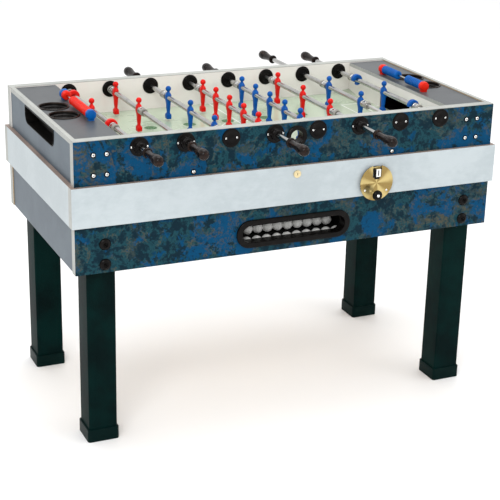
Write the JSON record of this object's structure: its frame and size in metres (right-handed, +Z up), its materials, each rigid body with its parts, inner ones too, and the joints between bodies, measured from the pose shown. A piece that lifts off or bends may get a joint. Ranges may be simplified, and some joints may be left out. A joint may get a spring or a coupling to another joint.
{
  "type": "foosball table",
  "caption": "Coin-operated foosball table: telescopic player rods over a green field in a lift-up blue marbled box, ball tray, coin mechanism, square legs.",
  "frame": {"origin": "on the floor under the middle of the table", "axes": "+X along the table's length, +Y from the front side with the coin mechanism to the rear side, +Z up"},
  "size_m": [1.424, 1.274, 1],
  "materials": {
    "marbled_laminate": "satin blue marbled laminate on board",
    "grey_laminate": "satin grey laminate on board",
    "pale_laminate": "satin pale grey laminate on board",
    "edge_trim": "satin edging",
    "white_wall": "gloss white laminate",
    "playfield": "gloss pale green with white lines",
    "black_plastic": "textured black",
    "counter_blue": "gloss",
    "red_plastic": "gloss",
    "blue_plastic": "gloss",
    "bright_screws": "bright",
    "hinge_steel": "zinc plated",
    "board_core": "raw board",
    "leg_paint": "dark green speckled powder coat",
    "boot_green": "dark green moulded boots",
    "black_bolts": "black domed heads",
    "tray_steel": "folded sheet",
    "white_balls": "gloss",
    "brass_plate": "turned",
    "knob_black": "gloss",
    "lock_brass": "satin",
    "inner_shaft": "ground",
    "chrome_rod": "bright tube; the handle in this node is black plastic"
  },
  "bodies": {
    "base": {"band_panels": "pale_laminate", "lower_front_panel": "marbled_laminate", "lower_rear_panel": "marbled_laminate", "lower_end_panels": "grey_laminate", "base_board": "board_core", "legs": "leg_paint", "leg_boots": "boot_green", "leg_bolts": "black_bolts", "tray_window_frame": "black_plastic", "ball_tray": "tray_steel", "balls": "white_balls", "ball_return": "tray_steel", "coin_plate": "brass_plate", "cash_box": "tray_steel", "hinge_lower_leaves": "hinge_steel"},
    "upper_cabinet": {"upper_front_panel": "marbled_laminate", "upper_rear_panel": "marbled_laminate", "upper_end_panels": "grey_laminate", "rim_trim": "edge_trim", "end_decks": "grey_laminate", "goal_walls": "white_wall", "playfield": "playfield", "goal_pockets": "black_plastic", "hand_recesses": "black_plastic", "drink_cups": "black_plastic", "rod_bearings": "black_plastic", "serve_ring": "black_plastic", "counter_frames": "counter_blue", "panel_screws": "bright_screws", "hinge_upper_leaves": "hinge_steel"},
    "left_far_beads": {"left_far_beads": "red_plastic"},
    "left_near_beads": {"left_near_beads": "red_plastic"},
    "right_far_beads": {"right_far_beads": "blue_plastic"},
    "right_near_beads": {"right_near_beads": "blue_plastic"},
    "coin_knob": {"coin_knob": "knob_black"},
    "lock_cylinder": {"lock_cylinder": "lock_brass"},
    "shaft_1": {"rod_1_shaft": "inner_shaft"},
    "rod_1": {"rod_1": "chrome_rod", "rod_1_men": "red_plastic"},
    "shaft_2": {"rod_2_shaft": "inner_shaft"},
    "rod_2": {"rod_2": "chrome_rod", "rod_2_men": "red_plastic"},
    "shaft_3": {"rod_3_shaft": "inner_shaft"},
    "rod_3": {"rod_3": "chrome_rod", "rod_3_men": "blue_plastic"},
    "shaft_4": {"rod_4_shaft": "inner_shaft"},
    "rod_4": {"rod_4": "chrome_rod", "rod_4_men": "red_plastic"},
    "shaft_5": {"rod_5_shaft": "inner_shaft"},
    "rod_5": {"rod_5": "chrome_rod", "rod_5_men": "blue_plastic"},
    "shaft_6": {"rod_6_shaft": "inner_shaft"},
    "rod_6": {"rod_6": "chrome_rod", "rod_6_men": "red_plastic"},
    "shaft_7": {"rod_7_shaft": "inner_shaft"},
    "rod_7": {"rod_7": "chrome_rod", "rod_7_men": "blue_plastic"},
    "shaft_8": {"rod_8_shaft": "inner_shaft"},
    "rod_8": {"rod_8": "chrome_rod", "rod_8_men": "blue_plastic"}
  },
  "joints": [
    {"name": "playing_box_lift", "type": "hinge", "parent": "base", "child": "upper_cabinet", "pos_m": [0, 0.3712, 0.8412], "axis": [-1, 0, 0], "range_deg": [0, 40]},
    {"name": "rod_1_spin", "type": "hinge", "parent": "upper_cabinet", "child": "shaft_1", "pos_m": [-0.50277, 0, 0.939], "axis": [0, 1, 0], "range_deg": [-210, 50]},
    {"name": "rod_1_slide", "type": "slide", "parent": "shaft_1", "child": "rod_1", "axis": [0, 1, 0], "range_m": [-0.168, 0]},
    {"name": "rod_2_spin", "type": "hinge", "parent": "upper_cabinet", "child": "shaft_2", "pos_m": [-0.35913, 0, 0.939], "axis": [0, 1, 0], "continuous": true},
    {"name": "rod_2_slide", "type": "slide", "parent": "shaft_2", "child": "rod_2", "axis": [0, 1, 0], "range_m": [-0.32, 0]},
    {"name": "rod_3_spin", "type": "hinge", "parent": "upper_cabinet", "child": "shaft_3", "pos_m": [-0.21547, 0, 0.939], "axis": [0, 1, 0], "continuous": true},
    {"name": "rod_3_slide", "type": "slide", "parent": "shaft_3", "child": "rod_3", "axis": [0, 1, 0], "range_m": [-0.039, 0.113]},
    {"name": "rod_4_spin", "type": "hinge", "parent": "upper_cabinet", "child": "shaft_4", "pos_m": [-0.07182, 0, 0.939], "axis": [0, 1, 0], "continuous": true},
    {"name": "rod_4_slide", "type": "slide", "parent": "shaft_4", "child": "rod_4", "axis": [0, 1, 0], "range_m": [-0.032, 0.06]},
    {"name": "rod_5_spin", "type": "hinge", "parent": "upper_cabinet", "child": "shaft_5", "pos_m": [0.07182, 0, 0.939], "axis": [0, 1, 0], "continuous": true},
    {"name": "rod_5_slide", "type": "slide", "parent": "shaft_5", "child": "rod_5", "axis": [0, 1, 0], "range_m": [-0.034, 0.058]},
    {"name": "rod_6_spin", "type": "hinge", "parent": "upper_cabinet", "child": "shaft_6", "pos_m": [0.21547, 0, 0.939], "axis": [0, 1, 0], "continuous": true},
    {"name": "rod_6_slide", "type": "slide", "parent": "shaft_6", "child": "rod_6", "axis": [0, 1, 0], "range_m": [-0.112, 0.04]},
    {"name": "rod_7_spin", "type": "hinge", "parent": "upper_cabinet", "child": "shaft_7", "pos_m": [0.35913, 0, 0.939], "axis": [0, 1, 0], "continuous": true},
    {"name": "rod_7_slide", "type": "slide", "parent": "shaft_7", "child": "rod_7", "axis": [0, 1, 0], "range_m": [-0.172, 0.148]},
    {"name": "rod_8_spin", "type": "hinge", "parent": "upper_cabinet", "child": "shaft_8", "pos_m": [0.50277, 0, 0.939], "axis": [0, 1, 0], "range_deg": [-50, 210]},
    {"name": "rod_8_slide", "type": "slide", "parent": "shaft_8", "child": "rod_8", "axis": [0, 1, 0], "range_m": [-0.084, 0.084]},
    {"name": "left_far_bead_slide", "type": "slide", "parent": "upper_cabinet", "child": "left_far_beads", "axis": [0, 1, 0], "range_m": [-0.061, 0]},
    {"name": "left_near_bead_slide", "type": "slide", "parent": "upper_cabinet", "child": "left_near_beads", "axis": [0, 1, 0], "range_m": [0, 0.061]},
    {"name": "right_far_bead_slide", "type": "slide", "parent": "upper_cabinet", "child": "right_far_beads", "axis": [0, 1, 0], "range_m": [-0.061, 0]},
    {"name": "right_near_bead_slide", "type": "slide", "parent": "upper_cabinet", "child": "right_near_beads", "axis": [0, 1, 0], "range_m": [0, 0.061]},
    {"name": "coin_knob_pull", "type": "slide", "parent": "base", "child": "coin_knob", "axis": [0, -1, 0], "range_m": [0, 0.025], "stiffness_N_per_m": 150},
    {"name": "lock_turn", "type": "hinge", "parent": "base", "child": "lock_cylinder", "pos_m": [0, -0.378, 0.809], "axis": [0, -1, 0], "range_deg": [0, 90]}
  ]
}
